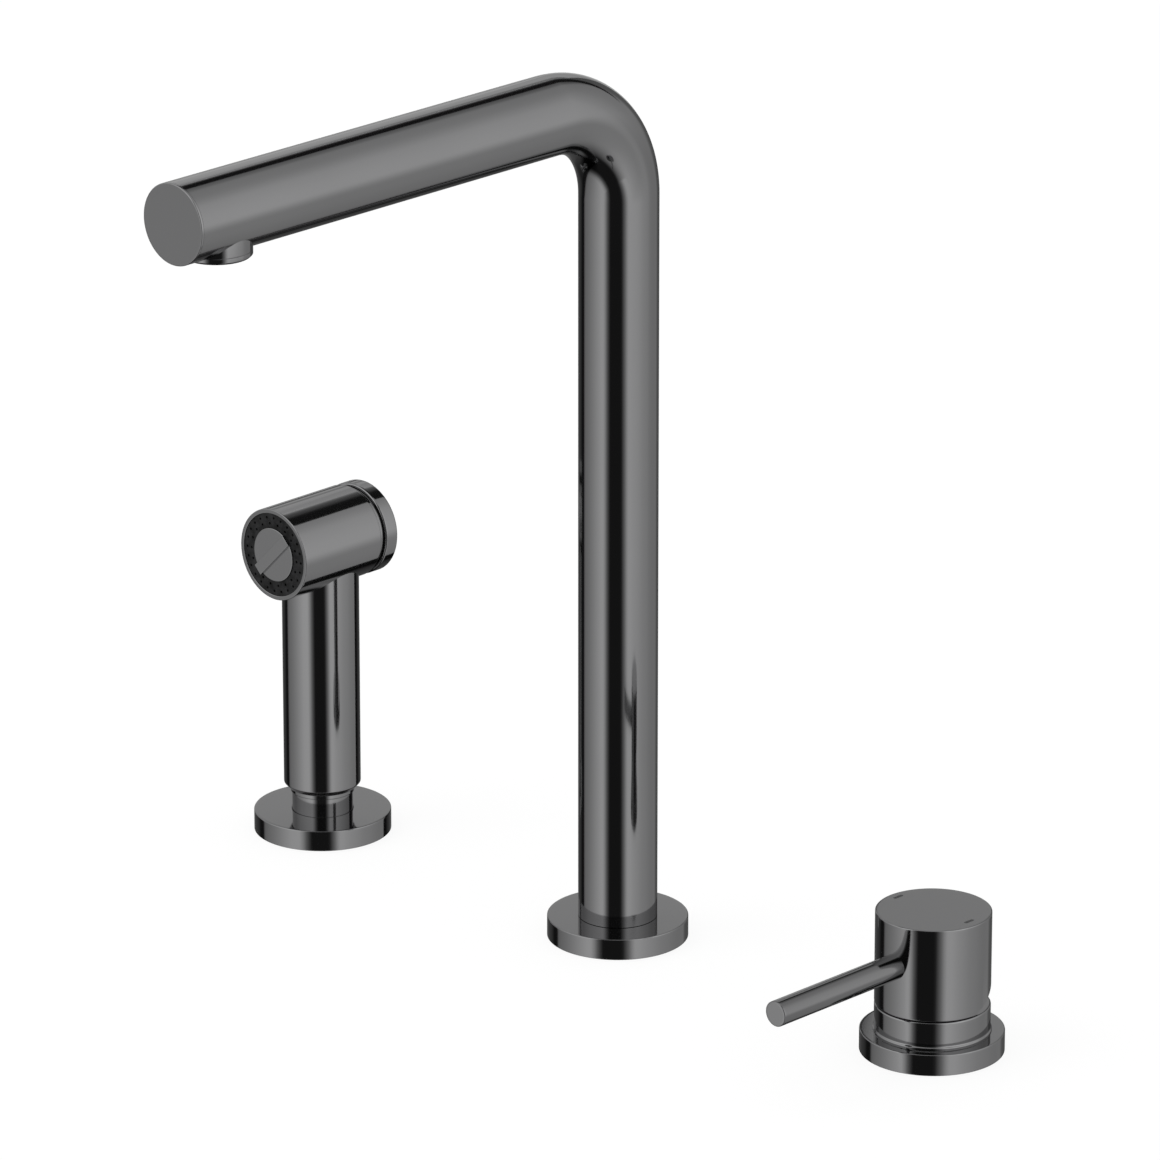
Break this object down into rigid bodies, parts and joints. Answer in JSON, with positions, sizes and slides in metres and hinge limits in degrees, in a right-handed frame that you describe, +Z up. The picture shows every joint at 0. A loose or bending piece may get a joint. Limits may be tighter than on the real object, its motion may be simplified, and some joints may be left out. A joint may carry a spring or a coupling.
{
  "type": "side spray kitchen faucet",
  "caption": "Deck-mounted kitchen faucet in separate units: tall swivel spout with a right-angle bend, pull-out push-button side spray in a holder, and single-lever mixer.",
  "frame": {"origin": "centre of the spout's deck hole, on the deck surface", "axes": "+Z up along the spout post, X along the row of deck holes (spray at -X, mixer at +X), spout arm towards -Y"},
  "size_m": [0.35, 0.238, 0.423],
  "materials": {
    "gunmetal": "polished dark gunmetal plating",
    "brass": "machined",
    "steel": "plain stainless",
    "rubber": "matt",
    "acetal": "moulded",
    "ceramic": "lapped"
  },
  "bodies": {
    "base": {"spout_flange": "gunmetal", "spout_gasket": "rubber", "spout_post": "brass", "slip_ring": "rubber", "post_bushes": "acetal", "post_orings": "rubber", "spout_rubber_washer": "rubber", "spout_steel_washer": "steel", "spout_nut": "brass", "diverter_tee": "brass", "holder_flange": "gunmetal", "holder_gasket": "rubber", "holder_shank": "brass", "dock_liner": "acetal", "holder_rubber_washer": "rubber", "holder_steel_washer": "steel", "holder_nut": "brass", "mixer_flange": "gunmetal", "mixer_gasket": "rubber", "mixer_body": "gunmetal", "mixer_rubber_washer": "rubber", "mixer_steel_washer": "steel", "mixer_nut": "brass", "cartridge_seals": "rubber", "cartridge_base": "acetal", "fixed_disc": "ceramic", "cartridge_housing": "acetal", "retaining_nut": "brass"},
    "spout": {"spout_tube": "gunmetal", "spout_end_cap": "gunmetal", "spout_grub_screw": "steel", "outlet_socket": "gunmetal", "aerator_shell": "gunmetal", "aerator_insert": "acetal", "aerator_screen": "steel", "aerator_seal": "rubber"},
    "diverter": {"diverter_spool": "brass", "diverter_cup": "rubber", "diverter_spring": "steel"},
    "neck": {"spray_neck": "gunmetal", "neck_oring": "rubber", "neck_clip": "steel"},
    "spray": {"spray_handle": "gunmetal", "spray_head": "gunmetal", "spray_valve_body": "brass", "valve_plug": "brass", "nozzle_pad": "rubber", "face_disc": "gunmetal", "stem_oring": "rubber"},
    "button": {"spray_button": "gunmetal", "button_stem": "steel", "valve_seal": "rubber", "button_spring": "steel"},
    "turret": {"cartridge_turret": "acetal", "pivot_pin": "steel"},
    "disc": {"moving_disc": "ceramic"},
    "lever": {"lever_stem": "steel", "handle_cap": "gunmetal", "lever_rod": "gunmetal", "cap_grub_screw": "steel"}
  },
  "joints": [
    {"name": "spout_swivel", "type": "hinge", "parent": "base", "child": "spout", "pos_m": [0, 0, 0], "axis": [0, 0, 1], "continuous": true},
    {"name": "diverter_slide", "type": "slide", "parent": "base", "child": "diverter", "axis": [0, 0, -1], "range_m": [0, 0.003], "stiffness_N_per_m": 100, "springref_m": -0.004, "deforming": ["diverter_spring"]},
    {"name": "spray_pull_out", "type": "slide", "parent": "base", "child": "neck", "axis": [0, 0, 1], "range_m": [0, 0.15]},
    {"name": "spray_swivel", "type": "hinge", "parent": "neck", "child": "spray", "pos_m": [-0.15, 0, 0], "axis": [0, 0, 1], "continuous": true},
    {"name": "button_press", "type": "slide", "parent": "spray", "child": "button", "axis": [0, -1, 0], "range_m": [0, 0.0024], "stiffness_N_per_m": 800, "springref_m": -0.004, "deforming": ["button_spring"]},
    {"name": "mixer_turn", "type": "hinge", "parent": "base", "child": "turret", "pos_m": [0.15, 0, 0], "axis": [0, 0, 1], "range_deg": [-50, 50]},
    {"name": "lever_lift", "type": "hinge", "parent": "turret", "child": "lever", "pos_m": [0.15, 0, 0.02], "axis": [-1, 0, 0], "range_deg": [0, 25]},
    {"name": "disc_slide", "type": "slide", "parent": "turret", "child": "disc", "axis": [0, -1, 0], "range_m": [0, 0.0035]}
  ],
  "couplings": [
    {"joint": "disc_slide", "follows": "lever_lift", "m_per_rad": 0.0075}
  ]
}
